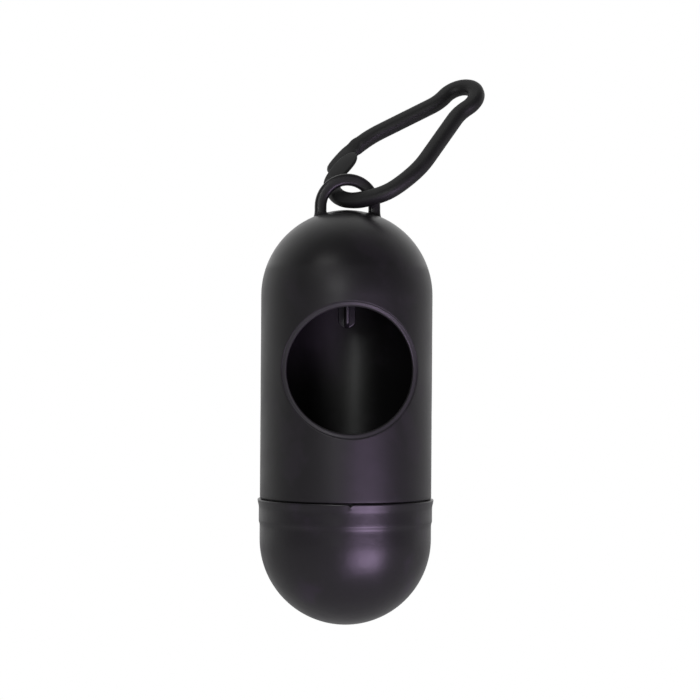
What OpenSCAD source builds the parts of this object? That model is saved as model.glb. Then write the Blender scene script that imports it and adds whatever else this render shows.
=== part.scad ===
// Capsule bag dispenser: round-windowed case with a moulded eye, push-fit cap and one-piece snap hook.
// Millimetres, +Z up along the capsule, the window faces -Y, origin on the axis at the seam.

/* [Case] */
// Outer diameter of the capsule
case_d = 36; // [33:0.5:40]
// Height of the case above the seam, to the top of the dome
case_h = 60.5; // [56:0.5:70]
// Wall of the case and of the cap's bowl
wall = 1.6; // [1.2:0.1:2]
// Length of the neck that the cap pushes onto
neck_h = 5; // [4:0.5:7]
// Lead-in chamfer on the end of the neck
neck_lead = 0.4; // [0.2:0.1:0.6]

/* [Window] */
// Diameter of the round window, inside its rim
window_d = 26.6; // [22:0.2:28]
// Height of the window's centre above the seam
window_z = 27; // [22:0.5:32]
// Width of the eased rim round the window
rim_w = 1; // [0.6:0.1:1.4]
// Depth of the eased rim below the case's skin
rim_depth = 0.5; // [0.3:0.1:0.8]

/* [Cap] */
// Height of the cap below the seam
cap_h = 26.5; // [23:0.5:32]
// Height of the raised band round the cap's mouth
band_h = 5; // [4:0.5:7]
// How far the band stands out from the bowl
band_out = 0.2; // [0.1:0.05:0.4]
// How far the flared lip stands out from the band
lip_out = 0.3; // [0.1:0.05:0.5]
// Height of the flared lip
lip_h = 1.2; // [0.8:0.1:1.6]
// Depth of the locating notch in the lip
notch = 0.4; // [0.3:0.05:0.6]
// Gap at the seam between case and cap
seam_gap = 0.3; // [0.2:0.05:0.4]
// Radial clearance of the push fit
fit_gap = 0.05; // [0.03:0.01:0.1]
// Wall of the cap round the neck
socket_wall = 1; // [0.8:0.1:1.3]

/* [Roll spindle] */
// Width across the crossed ribs
spindle_w = 3.6; // [3:0.1:5]
// Thickness of each rib
spindle_rib = 1; // [0.8:0.1:1.4]
// Depth of the spindle's tip below the top of the dome
spindle_drop = 24.8; // [20:0.2:30]
// Taper cut on the spindle's tip
spindle_tip = 1.2; // [0.8:0.1:1.4]

/* [Eye] */
// Width of the eye's band in its plane
eye_w = 2.5; // [2:0.1:3]
// Thickness of the eye, front to back
eye_t = 2.1; // [1.8:0.1:2.3]
// Height of the eye's centre above the dome
eye_rise = 1; // [0.8:0.1:1.4]
// Room left round the hook's band in the eye
eye_play = 2.75; // [2.7:0.05:3.2]
// Radius on the eye's edges
eye_round = 0.7; // [0.4:0.1:0.9]

/* [Snap hook] */
// Overall length of the hook
hook_l = 42.4; // [41:0.2:46]
// Overall width of the hook
hook_w = 22.5; // [21:0.5:24]
// Width of the hook's band in its plane
band_w = 3.3; // [3:0.1:3.5]
// Thickness of the hook
band_t = 2.8; // [2.4:0.1:3]
// Radius on the edges of the hook's band
band_round = 1.1; // [0.9:0.1:1.2]
// Overall width of the hook's head
head_w = 11.3; // [10.5:0.1:12]
// Radius of the waist below the head, to the middle of the band
waist_r = 7.1; // [6:0.1:9]
// Angle by which the head closes in at the waist
waist_angle = 11; // [8:1:15]
// Radius of the wide end, to the middle of the band
end_r = 7.5; // [7:0.1:8]
// Angle of the shoulder, where the wide end runs into the sides
shoulder_angle = 43; // [38:1:48]
// Radius of the nose, where it turns in from the wide end
nose_r = 4; // [3.5:0.1:4.5]
// Turn of the wide end before the nose
nose_from = 45; // [40:1:50]
// Angle by which the leaf points in across the hook
leaf_angle = 10; // [5:1:15]
// Length of the leaf beyond the nose
leaf_l = 5.6; // [4.5:0.1:6]
// Width of the leaf
leaf_w = 3.7; // [3.2:0.1:4]
// Width of the gate's tongue
tongue_w = 2.4; // [2:0.1:2.8]
// Clearance between the gate and the hook
gate_gap = 0.3; // [0.2:0.05:0.4]

/* [Lie of the hook] */
// Heading of the hook, seen from above
hook_heading = 14.4; // [13.4:0.2:16]
// Rise of the hook's long axis
hook_rise = 38.9; // [37.9:0.2:40]
// Roll of the hook about its long axis
hook_roll = 30.3; // [29.3:0.2:32]
// Place of the hook's wide end from the eye's centre
hook_place = [-1.7, 1.15, 1.8];

/* [Hidden] */
$fn = 72;
case_r = case_d / 2;
bore_r = case_r - wall;
dome_z = case_h - case_r;
band_r = case_r + band_out;
lip_r = band_r + lip_out;
socket_r = band_r - socket_wall;
neck_r = socket_r - fit_gap;
neck_bore_r = bore_r - band_out * 2;
bowl_z = case_r - cap_h;
window_r = window_d / 2;
eye_z = case_h + eye_rise;
eye_in_r = band_w / 2 + eye_play;
eye_mid_r = eye_in_r + eye_w / 2;
spindle_end_z = case_h - spindle_drop;
through = 1;
eps = 0.02;
hook_mid_l = hook_l - band_w;
hook_mid_w = (hook_w - band_w) / 2;
head_r = (head_w - band_w) / 2;
side_r = (hook_mid_w - end_r * cos(shoulder_angle)) / (1 - cos(shoulder_angle));
head_c = [hook_mid_l - head_r, 0];
end_c = [end_r, 0];
waist_c = head_c + (head_r + waist_r) * [-sin(waist_angle), cos(waist_angle)];
side_c = end_c + (side_r - end_r) * [sin(shoulder_angle), -cos(shoulder_angle)];
span = waist_c - side_c;
side_angle = asin((side_r + waist_r) / norm(span)) - atan2(span.y, span.x);
waist_p = waist_c - waist_r * [sin(side_angle), cos(side_angle)];
nose_c = end_c + (end_r - nose_r) * [-cos(nose_from), sin(nose_from)];
nose_end = nose_c + nose_r * [sin(leaf_angle), cos(leaf_angle)];
leaf_tip = nose_end + leaf_l * [cos(leaf_angle), -sin(leaf_angle)];
lap_t = (band_t - gate_gap) / 2;
lap_x = nose_c.x - (nose_r - band_w / 2) * cos(nose_from);
reach = waist_p.x - lap_x - 2 * gate_gap;
arm = waist_p - side_c;
tip_angle = atan2(arm.y, arm.x) + acos((arm * arm + side_r * side_r - reach * reach) / (2 * norm(arm) * side_r));
tongue_angle = tip_angle - 90 - tongue_w / 2 / side_r * 180 / PI;
step_x = leaf_tip.x + band_w * 2 / 3;
step_angle = asin((step_x - side_c.x) / side_r);
root_angle = (band_w / 2 + gate_gap) / waist_r * 180 / PI;
arc_step = 12;
side_step = 5;
corner_steps = 3;

// Points along an arc, each with the angle of its outward normal; out is 180 on a hollow arc
function arc(centre, radius, from, to, step, out = 0) =
  let (n = max(1, ceil(abs(to - from) / step)))
    [for (i = [0:n]) let (a = from + (to - from) * i / n)
      [centre.x + radius * cos(a), centre.y + radius * sin(a), a + out]];

function flip(p) = [p.x, -p.y];

function drop(list) = [for (i = [1:len(list) - 1]) list[i]];

// A station of the band: point, normal angle, width, lowest and highest z
function full(points) = [for (p = points) [p, band_w, -band_t / 2, band_t / 2]];

// Corner points of the rounded section at a station
function section(st) =
  let (w = st[1], low = st[2], high = st[3],
       r = min(band_round, (w - eps) / 2, (high - low - eps) / 2))
    [for (corner = [0:3], i = [0:corner_steps - 1])
      let (a = 90 * (corner + i / (corner_steps - 1)),
           x = (corner == 0 || corner == 3 ? 1 : -1) * (w / 2 - r) + r * cos(a),
           z = (corner < 2 ? high - r : low + r) + r * sin(a))
        [st[0].x + x * cos(st[0].z), st[0].y + x * sin(st[0].z), z]];

// Band swept through its stations
module sweep(stations) {
  n = len(section(stations[0]));
  m = len(stations);
  points = [for (st = stations) each section(st)];
  sides = [for (k = [0:m - 2], i = [0:n - 1])
    let (a = k * n + i, b = k * n + (i + 1) % n) each [[a, b, b + n], [a, b + n, a + n]]];
  ends = [for (i = [1:n - 2]) each [[0, i + 1, i], [(m - 1) * n, (m - 1) * n + i, (m - 1) * n + i + 1]]];
  polyhedron(points, concat(sides, ends));
}

// Rectangle with rounded corners, centred
module rounded_section(w, t, r) {
  square([w - 2 * r, t], center = true);
  square([w, t - 2 * r], center = true);
  for (x = [-1, 1], y = [-1, 1])
    translate([x * (w / 2 - r), y * (t / 2 - r)]) circle(r);
}

module place_hook() {
  translate([0, 0, eye_z] + hook_place)
    rotate([0, 0, hook_heading]) rotate([0, -hook_rise, 0]) rotate([hook_roll, 0, 0])
      children();
}

module quarter(r) {
  intersection() {
    circle(r);
    square(r + through);
  }
}

// Capsule profile half: a column with a domed top
module column(r, low, dome) {
  translate([0, dome]) quarter(r);
  translate([0, low]) square([r, dome - low]);
}

module eye() {
  translate([0, 0, eye_z]) rotate([90, 0, 0]) {
    rotate_extrude(angle = 180) translate([eye_mid_r, 0]) rounded_section(eye_w, eye_t, eye_round);
    for (side = [-1, 1])
      translate([side * eye_mid_r, 0, 0]) rotate([90, 0, 0])
        linear_extrude(eye_rise + wall + eye_mid_r / 2) rounded_section(eye_w, eye_t, eye_round);
  }
}

module window_cut() {
  translate([0, 0, window_z]) rotate([90, 0, 0]) cylinder(r = window_r, h = case_r + through);
  difference() {
    translate([0, 0, window_z]) rotate([90, 0, 0])
      cylinder(r = window_r + rim_w, h = case_r + through);
    cylinder(r = case_r - rim_depth, h = case_h);
  }
}

// Crossed ribs that hang from the dome and carry the top of the roll
module spindle() {
  w = spindle_w / 2;
  tip = spindle_end_z + spindle_tip;
  root = dome_z + bore_r + wall / 2;
  for (turn = [0, 90])
    rotate([90, 0, turn]) translate([0, 0, -spindle_rib / 2]) linear_extrude(spindle_rib)
      polygon([[-w, root], [-w, tip], [-w + spindle_tip, spindle_end_z],
               [w - spindle_tip, spindle_end_z], [w, tip], [w, root]]);
}

module upper_case() {
  color([0.17, 0.17, 0.18]) {
    difference() {
      union() {
        rotate_extrude() {
          column(case_r, 0, dome_z);
          polygon([[0, through], [neck_r, through], [neck_r, neck_lead - neck_h],
                   [neck_r - neck_lead, -neck_h], [0, -neck_h]]);
        }
        eye();
      }
      rotate_extrude() {
        column(bore_r, wall, dome_z);
        translate([0, -neck_h - through]) square([neck_bore_r, neck_h + wall + 2 * through]);
      }
      window_cut();
    }
    spindle();
  }
}

// Drawn upside down, so heights here are depths below the seam
module bottom_cap() {
  color([0.19, 0.17, 0.2]) rotate([180, 0, 0]) difference() {
    rotate_extrude() {
      translate([0, -bowl_z]) quarter(case_r);
      polygon([[0, seam_gap], [lip_r, seam_gap], [band_r, seam_gap + lip_h], [band_r, band_h],
               [case_r, band_h], [case_r, -bowl_z], [0, -bowl_z]]);
    }
    rotate_extrude() {
      column(bore_r, wall, -bowl_z);
      square([socket_r, neck_h + seam_gap]);
    }
    translate([0, lip_r, seam_gap]) rotate([0, 45, 0])
      cube([notch * sqrt(2), 2 * (lip_r - socket_r) + through, notch * sqrt(2)], center = true);
  }
}

// Hook from the gate's root round the head, spine and wide end to the leaf on its nose
function hook_stations() =
  let (upper = arc(waist_c, waist_r, -90 - side_angle + root_angle, -90 + waist_angle, arc_step, 180),
       head = arc(head_c, head_r, 90 + waist_angle, -90 - waist_angle, arc_step),
       waist = arc(flip(waist_c), waist_r, 90 - waist_angle, 90 + side_angle, arc_step, 180),
       side = arc(flip(side_c), side_r, side_angle - 90, -90 - shoulder_angle, side_step),
       end = arc(end_c, end_r, -90 - shoulder_angle, -180 - nose_from, arc_step),
       nose = arc(nose_c, nose_r, -180 - nose_from, -270 - leaf_angle, arc_step))
    concat(full(upper), full(drop(head)), full(drop(waist)), full(side), full(drop(end)),
           [for (i = [0:len(nose) - 1]) let (f = i / (len(nose) - 1))
             [nose[i] + (i == 0 ? [0, eps, 0] : [0, 0, 0]), band_w + f * (leaf_w - band_w),
              gate_gap / 2, band_t / 2]],
           [for (f = [0.2:0.1:1]) let (p = nose_end + f * (leaf_tip - nose_end))
             [[p.x, p.y, -270 - leaf_angle], max(leaf_w * sqrt(1 - f * f), leaf_w / 5),
              gate_gap / 2, band_t / 2]]);

// Gate from its round root along the side to the tip of its tongue
function gate_stations() =
  let (side = arc(side_c, side_r, 90 - side_angle, 90 - step_angle, side_step),
       tongue = arc(side_c, side_r, 90 - step_angle, 90 + tongue_angle, side_step),
       along = [cos(side_angle), -sin(side_angle)])
    concat([for (f = [-1:0.25:0]) let (p = waist_p + f * f * sign(f) * band_w / 2 * -along)
             [[p.x, p.y, 90 - side_angle], max(band_w * sqrt(1 - pow(f, 4)), band_w / 4),
              -band_t / 2, band_t / 2]],
           full(side),
           [for (i = [0:len(tongue) - 1]) [tongue[i] + (i == 0 ? [-eps, 0, 0] : [0, 0, 0]),
             tongue_w, -band_t / 2, -gate_gap / 2]],
           [for (f = [0.4, 0.7, 0.9, 1]) let (a = 90 + tongue_angle + f * tongue_w / 2 / side_r * 180 / PI)
             [[side_c.x + side_r * cos(a), side_c.y + side_r * sin(a), a],
              max(tongue_w * sqrt(1 - f * f), tongue_w / 4), -band_t / 2, -gate_gap / 2]]);

module clip_hook() {
  color([0.14, 0.14, 0.15]) place_hook() sweep(hook_stations());
}

module clip_gate() {
  color([0.14, 0.14, 0.15]) place_hook() sweep(gate_stations());
}

upper_case();
bottom_cap();
clip_hook();
clip_gate();
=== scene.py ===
import math

import bmesh
import bpy
from mathutils import Matrix, Vector


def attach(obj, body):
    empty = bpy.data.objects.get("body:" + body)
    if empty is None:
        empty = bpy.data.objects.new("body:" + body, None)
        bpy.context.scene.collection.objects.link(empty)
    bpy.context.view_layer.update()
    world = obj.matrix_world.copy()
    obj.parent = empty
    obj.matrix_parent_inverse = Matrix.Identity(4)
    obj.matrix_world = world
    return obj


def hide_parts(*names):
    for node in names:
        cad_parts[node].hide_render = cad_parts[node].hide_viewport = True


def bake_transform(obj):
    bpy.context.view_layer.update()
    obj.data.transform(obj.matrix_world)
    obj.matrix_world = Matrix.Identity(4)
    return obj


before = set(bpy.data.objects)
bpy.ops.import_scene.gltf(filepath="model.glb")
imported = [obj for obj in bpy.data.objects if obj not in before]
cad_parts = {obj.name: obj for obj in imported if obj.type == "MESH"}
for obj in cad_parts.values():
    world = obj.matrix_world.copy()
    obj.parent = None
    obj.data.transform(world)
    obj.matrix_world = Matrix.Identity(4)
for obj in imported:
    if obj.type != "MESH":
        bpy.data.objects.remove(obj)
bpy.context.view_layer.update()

mm = 0.001


def sine(degrees):
    return math.sin(math.radians(degrees))


def cosine(degrees):
    return math.cos(math.radians(degrees))


def finishMesh(name, mesh, sharpAngle=40):
    # turns a bmesh into a smooth object whose hard edges stay hard
    for face in mesh.faces:
        face.smooth = True
    for edge in mesh.edges:
        edge.smooth = len(edge.link_faces) != 2 or edge.calc_face_angle(0) < math.radians(sharpAngle)
    data = bpy.data.meshes.new(name)
    mesh.to_mesh(data)
    mesh.free()
    piece = bpy.data.objects.new(name, data)
    bpy.context.scene.collection.objects.link(piece)
    return piece


def ringEdges(mesh, loop):
    return [mesh.edges.get(pair) for pair in zip(loop, loop[1:] + loop[:1])]


def sweepRings(mesh, rings, closeEnds=True):
    # a tube through rings of points: each ring is extruded from the one before
    loop = list(bmesh.ops.create_circle(mesh, segments=len(rings[0]), radius=mm, cap_ends=False)["verts"])
    for point, place in zip(loop, rings[0]):
        point.co = place
    if closeEnds:
        mesh.faces.new(loop)
    for ring in rings[1:]:
        made = bmesh.ops.extrude_edge_only(mesh, edges=ringEdges(mesh, loop))["geom"]
        fresh = {item for item in made if isinstance(item, bmesh.types.BMVert)}
        loop = [next(edge.other_vert(point) for edge in point.link_edges if edge.other_vert(point) in fresh)
                for point in loop]
        for point, place in zip(loop, ring):
            point.co = place
    if closeEnds:
        mesh.faces.new(loop)


def spinProfile(mesh, profile, steps):
    # a profile of radius and height, spun once round the capsule's axis from the back
    points = [mesh.verts.new((0, radius * mm, height * mm)) for radius, height in profile]
    edges = [mesh.edges.new(pair) for pair in zip(points, points[1:])]
    bmesh.ops.spin(mesh, geom=points + edges, cent=(0, 0, 0), axis=(0, 0, 1), angle=math.tau,
                   steps=steps, use_merge=True)


def closeUp(mesh):
    bmesh.ops.remove_doubles(mesh, verts=mesh.verts, dist=2e-6)
    bmesh.ops.dissolve_degenerate(mesh, dist=1e-7, edges=mesh.edges)
    bmesh.ops.recalc_face_normals(mesh, faces=mesh.faces)


def quarterArc(radius, centreHeight, steps, upward=True):
    # from the rim of a dome to its pole
    turn = 1 if upward else -1
    return [(radius * cosine(90 * i / steps), centreHeight + turn * radius * sine(90 * i / steps))
            for i in range(steps + 1)]


def roundedSection(width, low, high, rounding, cornerPoints=6):
    # a rectangle with round corners as (across, up) points
    radius = min(rounding, width / 2 - 0.01, (high - low) / 2 - 0.01)
    points = []
    for corner in range(4):
        x = (width / 2 - radius) * (1 if corner in (0, 3) else -1)
        z = high - radius if corner < 2 else low + radius
        for i in range(cornerPoints):
            angle = 90 * (corner + i / (cornerPoints - 1))
            points.append((x + radius * cosine(angle), z + radius * sine(angle)))
    return points


def bandRing(station, place, rounding):
    # one ring of a band that lies flat, at a station (x, y, outward angle, width, low, high)
    x, y, angle, width, low, high = station
    out = Vector((cosine(angle), sine(angle), 0))
    return [place @ ((Vector((x, y, up)) + out * across) * mm)
            for across, up in roundedSection(width, low, high, rounding)]


def sweepBand(name, stations, place, rounding):
    mesh = bmesh.new()
    sweepRings(mesh, [bandRing(station, place, rounding) for station in stations])
    bmesh.ops.recalc_face_normals(mesh, faces=mesh.faces)
    return finishMesh(name, mesh)


def arcPoints(centre, radius, start, end, step, hollow=False):
    # points of an arc with the angle that faces out of the band there
    count = max(1, math.ceil(abs(end - start) / step))
    angles = [start + (end - start) * i / count for i in range(count + 1)]
    return [(centre[0] + radius * cosine(angle), centre[1] + radius * sine(angle),
             angle + (180 if hollow else 0)) for angle in angles]


def flatBand(points, width, low, high):
    return [(x, y, angle, width, low, high) for x, y, angle in points]


case = {
    "radius": 18.0,
    "bore": 16.4,
    "domeHeight": 42.5,
    "lowEdge": 0.35,        # the straight wall ends here, over the seam's round edge
    "innerLowEdge": 1.6,    # the chamber narrows to the neck's bore here
    "neckRadius": 17.15,
    "neckBore": 16.0,
    "neckDepth": 5.0,
    "aroundSteps": 128,
    "wallSteps": 36,
    "spreadRings": 24,
    "domeSteps": 26,
    "innerDomeSteps": 20,
}

window = {
    "height": 27.0,
    "flatRadius": 14.5,       # the outer wall's mesh starts here
    "innerFlatRadius": 14.2,  # and the inner wall's here
    # distance from the window's axis and from the capsule's axis, outside to inside
    "rim": [
        (14.3, 18.0), (14.12, 18.0), (14.03, 17.985), (13.96, 17.94), (13.9, 17.87), (13.84, 17.79),
        (13.72, 17.73), (13.52, 17.7), (13.3, 17.66), (13.13, 17.56), (13.02, 17.4), (12.95, 17.2),
        (12.92, 17.02), (12.91, 16.8), (12.91, 16.58), (12.94, 16.48), (13.03, 16.41), (13.2, 16.4),
        (13.8, 16.4),
    ],
}


# the case's wall is one sheet of rings that spread from the window to the wall's edges
def wallRing(spread, flatRadius, wallRadius, lowEdge):
    around, up = case["aroundSteps"], case["wallSteps"]
    high = case["domeHeight"]
    border = [(-math.pi + math.tau * i / around, high) for i in range(around)]
    border += [(math.pi, high + (lowEdge - high) * i / up) for i in range(up)]
    border += [(math.pi - math.tau * i / around, lowEdge) for i in range(around)]
    border += [(-math.pi, lowEdge + (high - lowEdge) * i / up) for i in range(up)]
    places = []
    for turn, height in border:
        heading = math.atan2(height - window["height"], turn * case["radius"])
        ringTurn = math.asin(flatRadius * math.cos(heading) / wallRadius)
        ringHeight = window["height"] + flatRadius * math.sin(heading)
        turn = ringTurn + (turn - ringTurn) * spread
        height = ringHeight + (height - ringHeight) * spread
        places.append(Vector((wallRadius * math.sin(turn), -wallRadius * math.cos(turn), height)) * mm)
    return places


def neckProfile():
    # radius and height over the seam's edge, down the neck and up its bore to the chamber
    wall, neck, bore, depth = case["radius"], case["neckRadius"], case["neckBore"], case["neckDepth"]
    return [
        (wall, case["lowEdge"]), (wall - 0.02, 0.2), (wall - 0.08, 0.09), (wall - 0.18, 0.02),
        (wall - 0.3, 0), (wall - 0.6, 0), (neck, 0), (neck, -depth / 2), (neck, 0.35 - depth),
        (neck - 0.1, 0.12 - depth), (neck - 0.3, -depth), (bore + 0.2, -depth), (bore + 0.04, 0.1 - depth),
        (bore, 0.3 - depth), (bore, -1), (bore, 1.45), (bore + 0.08, case["innerLowEdge"]),
        (case["bore"], case["innerLowEdge"]),
    ]


def makeCaseShell():
    mesh = bmesh.new()
    count = case["spreadRings"]
    spreads = [i / count for i in range(count + 1)]
    radius, bore = case["radius"], case["bore"]
    rings = [wallRing(s, window["flatRadius"], radius, case["lowEdge"]) for s in reversed(spreads)]
    rings += [wallRing(0, flat, wall, case["lowEdge"]) for flat, wall in window["rim"]]
    rings += [wallRing(s, window["innerFlatRadius"], bore, case["innerLowEdge"]) for s in spreads]
    sweepRings(mesh, rings, closeEnds=False)
    spinProfile(mesh, quarterArc(radius, case["domeHeight"], case["domeSteps"]), case["aroundSteps"])
    spinProfile(mesh, quarterArc(bore, case["domeHeight"], case["innerDomeSteps"]), case["aroundSteps"])
    spinProfile(mesh, neckProfile(), case["aroundSteps"])
    closeUp(mesh)
    return finishMesh("caseShell", mesh)


eye = {
    "height": 61.25,
    "midRadius": 5.65,
    "width": 2.5,
    "thickness": 2.1,
    "rounding": 0.75,
    # height from the centre, outward lean and growth of each foot's stations
    "foot": [
        (-0.9, 0, 0), (-1.25, -4, 0.06), (-1.55, -10, 0.2), (-1.8, -16, 0.5), (-2.05, -18, 0.95),
        (-2.6, -18, 1.0),
    ],
}


def makeHangingEye():
    place = Matrix.Translation((0, 0, eye["height"] * mm)) @ Matrix.Rotation(math.radians(90), 4, "X")
    half = eye["thickness"] / 2
    radius, width = eye["midRadius"], eye["width"]
    foot = [(radius, up, lean, width + grow, -half - grow / 2, half + grow / 2)
            for up, lean, grow in reversed(eye["foot"])]
    otherFoot = [(-x, y, 180 - lean, wide, low, high) for x, y, lean, wide, low, high in reversed(foot)]
    arch = flatBand(arcPoints((0, 0), radius, 0, 180, 6), width, -half, half)
    return sweepBand("hangingEye", foot + arch + otherFoot, place, eye["rounding"])


spindle = {
    "halfWidth": 1.8,
    "halfRib": 0.38,
    "easing": 0.2,    # bevel of the ribs' edges
    # height and half width down to the tip
    "stations": [(58.2, 1.8), (48.0, 1.8), (37.1, 1.8), (36.6, 1.66), (36.1, 1.2), (35.7, 0.6)],
}


def makeRollSpindle():
    # two crossed ribs, cut narrower towards the tip
    wide, rib = spindle["halfWidth"], spindle["halfRib"]
    outline = [(rib, rib), (rib, wide), (-rib, wide), (-rib, rib), (-wide, rib), (-wide, -rib),
               (-rib, -rib), (-rib, -wide), (rib, -wide), (rib, -rib), (wide, -rib), (wide, rib)]
    rings = [[Vector((max(-reach, min(reach, x)), max(-reach, min(reach, y)), height)) * mm
              for x, y in outline] for height, reach in spindle["stations"]]
    mesh = bmesh.new()
    sweepRings(mesh, rings)
    bmesh.ops.recalc_face_normals(mesh, faces=mesh.faces)
    edges = [edge for edge in mesh.edges if edge.calc_face_angle(0) > 1]
    bmesh.ops.bevel(mesh, geom=edges, offset=spindle["easing"] * mm, segments=3, profile=0.5,
                    affect="EDGES", material=-1)
    return finishMesh("rollSpindle", mesh)


cap = {
    "radius": 18.0,
    "bore": 16.4,
    "domeHeight": -8.5,
    "aroundSteps": 384,
    "domeSteps": 30,
    "innerDomeSteps": 20,
    # radius and height up the band, over the flared lip and down the socket
    "mouth": [
        (18.0, -7.4), (18.0, -6.3), (18.0, -5.75), (18.02, -5.45), (18.07, -5.2), (18.14, -4.98),
        (18.185, -4.8), (18.2, -4.55), (18.2, -4.0), (18.2, -3.0), (18.2, -2.1), (18.22, -1.7),
        (18.28, -1.35), (18.37, -1.0), (18.44, -0.62), (18.48, -0.4), (18.47, -0.25), (18.42, -0.17),
        (18.32, -0.14), (17.9, -0.14), (17.45, -0.14), (17.3, -0.18), (17.22, -0.3), (17.2, -0.5),
        (17.2, -3.0), (17.2, -5.2), (17.1, -5.3), (16.6, -5.3), (16.45, -5.4), (16.4, -5.6), (16.4, -7.0),
    ],
    "notchDepth": 0.45,
    "notchHalfWidth": 0.5,
    "notchFront": 17.0,   # the notch is in the lip's points in front of this
    "notchFoot": -1.3,    # and fades out down to this height
    "notchFade": 0.6,
}


def makeCapShell():
    mesh = bmesh.new()
    outer = quarterArc(cap["radius"], cap["domeHeight"], cap["domeSteps"], upward=False)
    inner = quarterArc(cap["bore"], cap["domeHeight"], cap["innerDomeSteps"], upward=False)
    spinProfile(mesh, list(reversed(outer)) + cap["mouth"] + inner, cap["aroundSteps"])
    closeUp(mesh)
    halfWidth, foot = cap["notchHalfWidth"], cap["notchFoot"]
    for point in mesh.verts:
        x, y, z = point.co / mm
        if y < -cap["notchFront"] and z > foot and abs(x) < halfWidth:
            fade = (1 - abs(x) / halfWidth) * min(1, (z - foot) / cap["notchFade"])
            point.co.z -= cap["notchDepth"] * fade * mm
    return finishMesh("capShell", mesh)


hook = {
    "length": 41.8,
    "width": 22.7,
    "band": 3.5,
    "endBand": 3.3,
    "endSteps": 4,          # stations over which the band narrows to the wide end's
    "shoulderBulge": 0.45,
    "shoulderPlace": 7.0,
    "shoulderRun": 3.5,
    "thickness": 2.8,
    "rounding": 1.15,
    "headWidth": 11.6,
    "waistRadius": 7.0,
    "waistAngle": 11.0,
    "endRadius": 7.5,
    "shoulderAngle": 43.0,
    "noseTurn": 38.0,
    # outer and inner edge of the leaf, from the nose to its tip
    "leaf": [
        (0.3, 5.64, 2.87, 3.62), (0.95, 6.25, 3.3, 3.75), (2.0, 6.95, 3.9, 3.55), (3.5, 7.62, 4.75, 3.45),
        (5.45, 8.27, 5.9, 3.6), (7.07, 8.52, 7.0, 3.9), (8.1, 8.5, 7.9, 4.2), (9.0, 8.3, 8.7, 4.6),
        (9.7, 8.05, 9.4, 5.15), (10.15, 7.75, 9.95, 5.8), (10.4, 7.4, 10.3, 6.4), (10.5, 7.1, 10.46, 6.75),
    ],
    "leafLow": 0.6,
    "leafTipDrop": 0.35,
    "armSteps": 12,
    "tongueStart": -3.0,
    # turn past the side's top, outer and inner edge from the band's middle line, height of the front face
    "tongue": [
        (-1.0, 2.0, -1.72, 1.36), (1.0, 2.4, -1.7, 1.1), (2.8, 2.65, -1.62, 0.72), (4.0, 2.8, -1.5, 0.48),
        (6.0, 2.98, -1.25, 0.34), (8.5, 3.12, -1.2, 0.3), (12.0, 3.15, -1.2, 0.3), (16.0, 3.18, -1.2, 0.3),
        (20.0, 3.25, -1.1, 0.3), (23.5, 3.32, -0.9, 0.3), (26.0, 3.27, -0.6, 0.3), (28.0, 3.08, -0.2, 0.3),
        (29.5, 2.8, 0.3, 0.3), (30.6, 2.4, 0.8, 0.3), (31.2, 2.0, 1.25, 0.3),
    ],
    "heading": 14.4,
    "rise": 38.9,
    "roll": 30.3,
    "place": (-1.7, 1.15, 63.3),
    "bendLength": 5.0,
}


def hookFrame():
    place = Matrix.Translation(Vector(hook["place"]) * mm)
    turns = ((hook["heading"], "Z"), (-hook["rise"], "Y"), (hook["roll"], "X"))
    for angle, axis in turns:
        place = place @ Matrix.Rotation(math.radians(angle), 4, axis)
    return place


def hookLayout():
    # centres and angles of the arcs that the hook's middle line runs through
    band, shoulder, waistAngle = hook["band"], hook["shoulderAngle"], hook["waistAngle"]
    endRadius, waistRadius = hook["endRadius"], hook["waistRadius"]
    headRadius = (hook["headWidth"] - band) / 2
    halfWidth = (hook["width"] - band) / 2
    sideRadius = (halfWidth - endRadius * cosine(shoulder)) / (1 - cosine(shoulder))
    head = Vector((hook["length"] - band - headRadius, 0))
    end = Vector((endRadius, 0))
    waist = head + (headRadius + waistRadius) * Vector((-sine(waistAngle), cosine(waistAngle)))
    side = end + (sideRadius - endRadius) * Vector((sine(shoulder), -cosine(shoulder)))
    span = waist - side
    slope = math.degrees(math.asin((sideRadius + waistRadius) / span.length) - math.atan2(span.y, span.x))
    root = waist - waistRadius * Vector((sine(slope), cosine(slope)))
    return {"headRadius": headRadius, "sideRadius": sideRadius, "head": head, "end": end, "waist": waist,
            "side": side, "slope": slope, "root": root}


def flipped(point):
    return Vector((point.x, -point.y))


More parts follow.
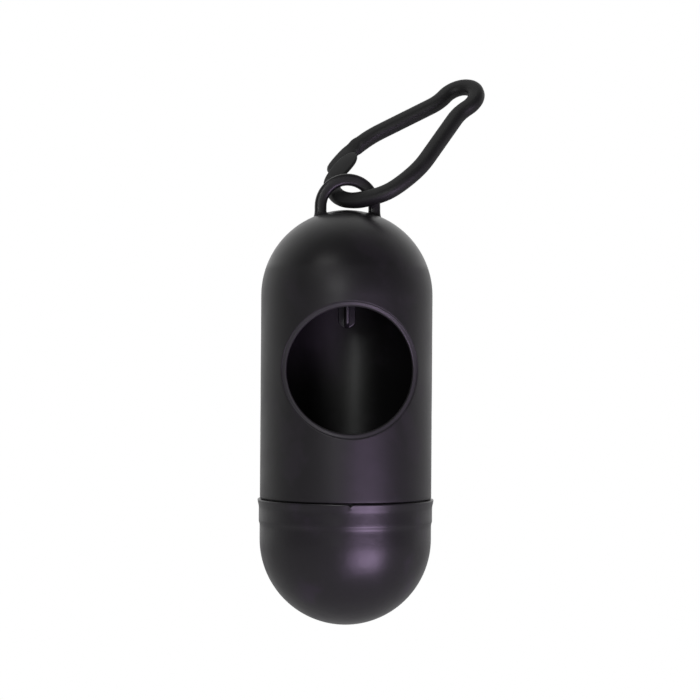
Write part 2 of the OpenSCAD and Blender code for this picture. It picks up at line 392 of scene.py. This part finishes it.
def makeHookBody(place, lay):
    half, band = hook["thickness"] / 2, hook["band"]
    slope, waistAngle, shoulder = lay["slope"], hook["waistAngle"], hook["shoulderAngle"]
    waistRadius = hook["waistRadius"]
    line = arcPoints(lay["waist"], waistRadius, -90 - slope, -90 + waistAngle, 4, hollow=True)
    line += arcPoints(lay["head"], lay["headRadius"], 90 + waistAngle, -90 - waistAngle, 5)[1:]
    line += arcPoints(flipped(lay["waist"]), waistRadius, 90 - waistAngle, 90 + slope, 4, hollow=True)[1:]
    line += arcPoints(flipped(lay["side"]), lay["sideRadius"], slope - 90, -90 - shoulder, 3)
    end = arcPoints(lay["end"], hook["endRadius"], -90 - shoulder, -180 - hook["noseTurn"], 4)[1:]
    stations = []
    for i, (x, y, angle) in enumerate(line + end):
        # the spine's shoulder stands out a little beyond the arcs
        along = (x - hook["shoulderPlace"]) / hook["shoulderRun"]
        bulge = hook["shoulderBulge"] * math.exp(-along ** 2) if y < 0 else 0
        narrow = min(1, max(0, i - len(line)) / hook["endSteps"]) * (band - hook["endBand"])
        stations.append((x + bulge * cosine(angle), y + bulge * sine(angle), angle,
                         band - narrow, -half, half))
    for i, (outX, outY, inX, inY) in enumerate(hook["leaf"]):
        across = Vector((outX - inX, outY - inY))
        drop = hook["leafTipDrop"] * (i / (len(hook["leaf"]) - 1)) ** 4
        stations.append(((outX + inX) / 2, (outY + inY) / 2, math.degrees(math.atan2(across.y, across.x)),
                         across.length, hook["leafLow"], half - drop))
    return sweepBand("hookBody", stations, place, hook["rounding"])


def makeGateArm(place, lay):
    half, band, steps = hook["thickness"] / 2, hook["band"], hook["armSteps"]
    side, radius, slope = lay["side"], lay["sideRadius"], lay["slope"]
    straightEnd = side + radius * Vector((sine(slope), cosine(slope)))
    line = [(*(lay["root"].lerp(straightEnd, i / steps)), 90 - slope) for i in range(steps)]
    line += arcPoints(side, radius, 90 - slope, 90 + hook["tongueStart"], 3)
    stations = flatBand(line, band, -half, half)
    for turn, outer, inner, high in hook["tongue"]:
        angle = 90 + turn
        middle = radius + (outer + inner) / 2
        stations.append((side.x + middle * cosine(angle), side.y + middle * sine(angle), angle,
                         outer - inner, -half, high))
    return sweepBand("gateArm", stations, place, hook["rounding"])


# one socket of a material, so that shader maths reads as Python
class Wire:
    def __init__(self, plastic, socket):
        self.plastic = plastic
        self.socket = socket

    def maths(self, operation, first, second):
        return self.plastic.add("ShaderNodeMath", {"operation": operation}, {0: first, 1: second})

    def __add__(self, other):
        return self.maths("ADD", self, other)

    def __radd__(self, other):
        return self.maths("ADD", other, self)

    def __sub__(self, other):
        return self.maths("SUBTRACT", self, other)

    def __rsub__(self, other):
        return self.maths("SUBTRACT", other, self)

    def __mul__(self, other):
        return self.maths("MULTIPLY", self, other)

    def __rmul__(self, other):
        return self.maths("MULTIPLY", other, self)


class Plastic:
    def __init__(self, tree):
        self.tree = tree
        self.tree.nodes.clear()

    # a node of any type: its settings first, then the values or links of its sockets
    def add(self, kind, settings=None, sockets=None, output=0):
        node = self.tree.nodes.new(kind)
        for name, value in (settings or {}).items():
            setattr(node, name, value)
        for name, value in (sockets or {}).items():
            if isinstance(value, Wire):
                self.tree.links.new(value.socket, node.inputs[name])
            else:
                node.inputs[name].default_value = value
        return Wire(self, node.outputs[output]) if node.outputs else None

    def noise(self, place, scale, detail=2.0, roughness=0.5):
        return self.add("ShaderNodeTexNoise", None,
                        {"Vector": place, "Scale": scale, "Detail": detail, "Roughness": roughness})

    def blend(self, share, first, second):
        return self.add("ShaderNodeMix", {"data_type": "RGBA"}, {0: share, 6: first, 7: second}, output=2)

    def vector(self, operation, first, second, output=0):
        return self.add("ShaderNodeVectorMath", {"operation": operation}, {0: first, 1: second}, output)

    # 0 at start and 1 at end
    def ramp(self, value, start, end, curve="LINEAR"):
        return self.add("ShaderNodeMapRange", {"interpolation_type": curve},
                        {"Value": value, "From Min": start, "From Max": end})


casePlastic = {
    "darkTone": (0.0070, 0.0067, 0.0072, 1), "lightTone": (0.0092, 0.0086, 0.0096, 1),
    "roughness": 0.44, "waveRoughness": 0.10, "markRoughness": 0.06, "gloss": 0.42,
    "grainScale": 3600, "grainBump": 0.25, "grainDepth": 0.00002,
    "waveScale": 55, "waveBump": 0.5, "waveDepth": 0.00025, "markScale": 240,
    "patchScale": 130, "patchTone": (0.0125, 0.0105, 0.0135, 1), "patchRoughness": 0.03,
}
# painted light: the spindle is the case's own plastic, given lighter tones to stand in for light that
# hardly reaches it inside the chamber
spindlePlasticPaintedLight = {
    **casePlastic, "roughness": 0.25,
    "darkTone": (0.011, 0.0112, 0.0122, 1), "lightTone": (0.0145, 0.0147, 0.0158, 1),
}
capPlastic = {
    "darkTone": (0.0064, 0.0056, 0.0070, 1), "lightTone": (0.0095, 0.0080, 0.0105, 1),
    "roughness": 0.33, "waveRoughness": 0.12, "markRoughness": 0.08, "gloss": 0.45,
    "grainScale": 3600, "grainBump": 0.12, "grainDepth": 0.00002,
    "waveScale": 70, "waveBump": 0.7, "waveDepth": 0.00035, "markScale": 260,
    "patchScale": 110, "patchTone": (0.015, 0.0105, 0.018, 1), "patchRoughness": 0.08,
}
hookPlastic = {
    "darkTone": (0.0055, 0.0055, 0.0058, 1), "lightTone": (0.0075, 0.0075, 0.0079, 1),
    "roughness": 0.52, "waveRoughness": 0.08, "markRoughness": 0.08, "gloss": 0.42,
    "grainScale": 4200, "grainBump": 0.2, "grainDepth": 0.00002,
    "waveScale": 130, "waveBump": 0.3, "waveDepth": 0.00012, "markScale": 420,
    "patchScale": 200, "patchTone": (0.009, 0.0088, 0.0092, 1), "patchRoughness": 0.04,
}

# a painted highlight, the window's rim painted lighter on its front where the edge catches light, and the
# smoother wall inside the case, in metres
rimHighlightAndInnerGloss = {
    "tone": (0.03, 0.029, 0.031, 1),
    "rimFrom": 0.0141,
    "rimTo": 0.0137,
    "insideRadius": 0.0168,
    "outsideRadius": 0.0172,
    "frontDepth": 0.001,
    "innerRoughness": -0.1,
}


def mouldedPlastic(name, look, highlightAndGloss=None):
    # satin moulded plastic: fine spark-eroded grain, slow waves of the wall and faint handling marks
    material = bpy.data.materials.new(name)
    material.use_nodes = True
    plastic = Plastic(material.node_tree)
    place = plastic.add("ShaderNodeTexCoord", output=3)
    grain = plastic.noise(place, look["grainScale"], 3.0, 0.6)
    waves = plastic.noise(place, look["waveScale"], 2.0, 0.45)
    marks = plastic.noise(place, look["markScale"], 4.0, 0.6)
    tone = plastic.blend(waves, look["darkTone"], look["lightTone"])
    patches = plastic.ramp(plastic.noise(place, look["patchScale"], 3.0, 0.55), 0.5, 0.68, "SMOOTHSTEP")
    tone = plastic.blend(patches, tone, look["patchTone"])
    rough = look["roughness"] + (waves - 0.5) * look["waveRoughness"]
    rough = rough + (marks - 0.5) * look["markRoughness"] + patches * look["patchRoughness"]
    if highlightAndGloss:
        # painted highlight: a lighter ring on the front of the window's rim, where its edge catches the
        # light; the wall inside the case only gets a lower roughness
        flat = plastic.vector("MULTIPLY", place, (1, 0, 1))
        aside = plastic.vector("DISTANCE", flat, (0, 0, window["height"] * mm), output=1)
        near = plastic.ramp(aside, highlightAndGloss["rimFrom"], highlightAndGloss["rimTo"], "SMOOTHSTEP")
        level = plastic.vector("MULTIPLY", place, (1, 1, 0))
        reach = plastic.vector("LENGTH", level, (0, 0, 0), output=1)
        outside = plastic.ramp(reach, highlightAndGloss["insideRadius"], highlightAndGloss["outsideRadius"])
        forward = plastic.vector("DOT_PRODUCT", place, (0, -1, 0), output=1)
        front = plastic.ramp(forward, 0.0, highlightAndGloss["frontDepth"])
        tone = plastic.blend(near * outside * front, tone, highlightAndGloss["tone"])
        rough = rough + (1 - outside) * highlightAndGloss["innerRoughness"]
    slowBump = plastic.add("ShaderNodeBump", None, {
        "Strength": look["waveBump"], "Distance": look["waveDepth"], "Height": waves * 0.8 + marks * 0.2})
    fineBump = plastic.add("ShaderNodeBump", None, {
        "Strength": look["grainBump"], "Distance": look["grainDepth"], "Height": grain, "Normal": slowBump})
    surface = plastic.add("ShaderNodeBsdfPrincipled", None, {
        "Base Color": tone, "Roughness": rough, "Normal": fineBump, "Specular IOR Level": look["gloss"]})
    plastic.add("ShaderNodeOutputMaterial", None, {"Surface": surface})
    return material


camera = {
    "distance": 0.465,
    "height": 0.0311,
    "turn": 3.3,     # degrees to the left of straight on
    "roll": 0.38,
    "lens": 113.8,
    "sensor": 36,
    "shift": 0.0050,
}


def placeCamera():
    data = bpy.data.cameras.new("photoCamera")
    data.lens = camera["lens"]
    data.sensor_width = camera["sensor"]
    data.shift_x = camera["shift"]
    data.clip_start, data.clip_end = 0.01, 20
    viewer = bpy.data.objects.new("photoCamera", data)
    bpy.context.scene.collection.objects.link(viewer)
    turn, distance = camera["turn"], camera["distance"]
    spot = Matrix.Translation((-distance * sine(turn), -distance * cosine(turn), camera["height"]))
    upright = Matrix.Rotation(math.radians(90), 4, "X")
    viewer.matrix_world = (spot @ Matrix.Rotation(math.radians(-turn), 4, "Z") @ upright
                           @ Matrix.Rotation(math.radians(camera["roll"]), 4, "Z"))
    bpy.context.scene.camera = viewer


studio = {
    "floorHeight": -0.22,
    "floorHalf": 3.0,
    "floorDark": (0.8, 0.8, 0.8, 1),
    "floorLight": (0.84, 0.84, 0.84, 1),
    "paintEnds": 0.3,     # the painted floor fades from here
    "whiteStarts": 0.55,  # to a plain white one here
    "floorGlow": 0.45,    # how bright that white is to the object
    "frontLevel": 0.14,   # how bright the room is behind the camera
    "backLevel": 1.0,
    "frontSky": -0.35,
    "backSky": 0.9,
}

# name, place, target, width, height, watts, colour, spread in degrees
lamps = [
    ("keySoftbox", (-0.55, -0.75, 0.75), (0, 0, 0.03), 0.5, 0.5, 1.2, (1.0, 0.99, 0.98), 180),
    ("lowRightSoftbox", (0.135, -0.27, -0.135), (0, 0, -0.04), 0.27, 0.16, 0.155, (0.84, 0.62, 1.0), 60),
    ("frontSoftbox", (-0.13, -0.46, 0.14), (0, 0, 0.02), 0.05, 0.14, 0.36, (0.98, 1.0, 0.98), 180),
    ("topSoftbox", (0.0, 0.25, 0.95), (0, 0, 0.03), 0.6, 0.6, 0.12, (1, 1, 1), 180),
]


def layFloor():
    mesh = bmesh.new()
    bmesh.ops.create_grid(mesh, x_segments=1, y_segments=1, size=studio["floorHalf"])
    bmesh.ops.translate(mesh, verts=mesh.verts, vec=(0, 0, studio["floorHeight"]))
    floor = finishMesh("studioFloor", mesh)
    paint = bpy.data.materials.new("floorPaint")
    paint.use_nodes = True
    plastic = Plastic(paint.node_tree)
    place = plastic.add("ShaderNodeTexCoord", output=3)
    distance = plastic.vector("LENGTH", place, (0, 0, 0), output=1)
    fade = plastic.ramp(distance, studio["paintEnds"], studio["whiteStarts"], "SMOOTHSTEP")
    tone = plastic.blend(plastic.noise(place, 300), studio["floorDark"], studio["floorLight"])
    painted = plastic.add("ShaderNodeBsdfPrincipled", None, {"Base Color": tone, "Roughness": 0.8})
    seen = plastic.add("ShaderNodeLightPath", output=0)
    glow = plastic.add("ShaderNodeMapRange", None,
                       {"Value": seen, "To Min": studio["floorGlow"], "To Max": 1.0})
    white = plastic.add("ShaderNodeEmission", None, {"Color": (1, 1, 1, 1), "Strength": glow})
    surface = plastic.add("ShaderNodeMixShader", None, {0: fade, 1: painted, 2: white})
    plastic.add("ShaderNodeOutputMaterial", None, {"Surface": surface})
    floor.data.materials.append(paint)


def lightRoom():
    # white to the camera, darker behind it to the object
    world = bpy.data.worlds.new("whiteRoom")
    bpy.context.scene.world = world
    world.use_nodes = True
    room = Plastic(world.node_tree)
    seen = room.add("ShaderNodeLightPath", output=0)
    direction = room.add("ShaderNodeTexCoord", output=0)
    depth = room.add("ShaderNodeSeparateXYZ", None, {0: direction}, output=1)
    level = room.add("ShaderNodeMapRange", {"interpolation_type": "SMOOTHSTEP"}, {
        "Value": depth, "From Min": studio["frontSky"], "From Max": studio["backSky"],
        "To Min": studio["frontLevel"], "To Max": studio["backLevel"]})
    strength = room.add("ShaderNodeMath", {"operation": "MAXIMUM"}, {0: seen, 1: level})
    sky = room.add("ShaderNodeBackground", None, {"Color": (1, 1, 1, 1), "Strength": strength})
    room.add("ShaderNodeOutputWorld", None, {"Surface": sky})


def hangLamps():
    for name, spot, target, width, height, watts, colour, spread in lamps:
        data = bpy.data.lights.new(name, "AREA")
        data.shape = "RECTANGLE"
        data.size, data.size_y = width, height
        data.energy = watts
        data.color = colour
        data.spread = math.radians(spread)
        lamp = bpy.data.objects.new(name, data)
        lamp.location = spot
        lamp.rotation_euler = (Vector(target) - Vector(spot)).to_track_quat("-Z", "Y").to_euler()
        lamp.visible_camera = False
        bpy.context.scene.collection.objects.link(lamp)


bpy.context.scene.view_settings.view_transform = "Standard"
placeCamera()
layFloor()
lightRoom()
hangLamps()
print("camera, floor and lamps are set")

caseFinish = mouldedPlastic("casePlastic", casePlastic, rimHighlightAndInnerGloss)
capFinish = mouldedPlastic("capPlastic", capPlastic)
hookFinish = mouldedPlastic("hookPlastic", hookPlastic)
spindleFinish = mouldedPlastic("spindlePlasticPaintedLight", spindlePlasticPaintedLight)
print("plastics are mixed")

caseShell, hangingEye, rollSpindle = makeCaseShell(), makeHangingEye(), makeRollSpindle()
for piece, finish in ((caseShell, caseFinish), (hangingEye, caseFinish), (rollSpindle, spindleFinish)):
    piece.data.materials.append(finish)
    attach(piece, "case")
    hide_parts("upper_case")
print("case, eye and spindle are made")

capShell = makeCapShell()
capShell.data.materials.append(capFinish)
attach(capShell, "cap")
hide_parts("bottom_cap")
print("cap is made")

hookPlace, layout = hookFrame(), hookLayout()
hookBody = makeHookBody(hookPlace, layout)
hookBody.data.materials.append(hookFinish)
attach(hookBody, "clip")
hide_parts("clip_hook")

gateArm = makeGateArm(hookPlace, layout)
gateArm.data.materials.append(hookFinish)
rootSpot = Vector((*layout["root"], 0))
bendAway = Vector((cosine(layout["slope"]), -sine(layout["slope"]), 0))
bendSpot = rootSpot - bendAway * hook["bendLength"]
hookPlace @ (rootSpot * mm)
hookPlace @ (bendSpot * mm)
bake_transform(gateArm)
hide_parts("clip_gate")
print("snap hook is made")
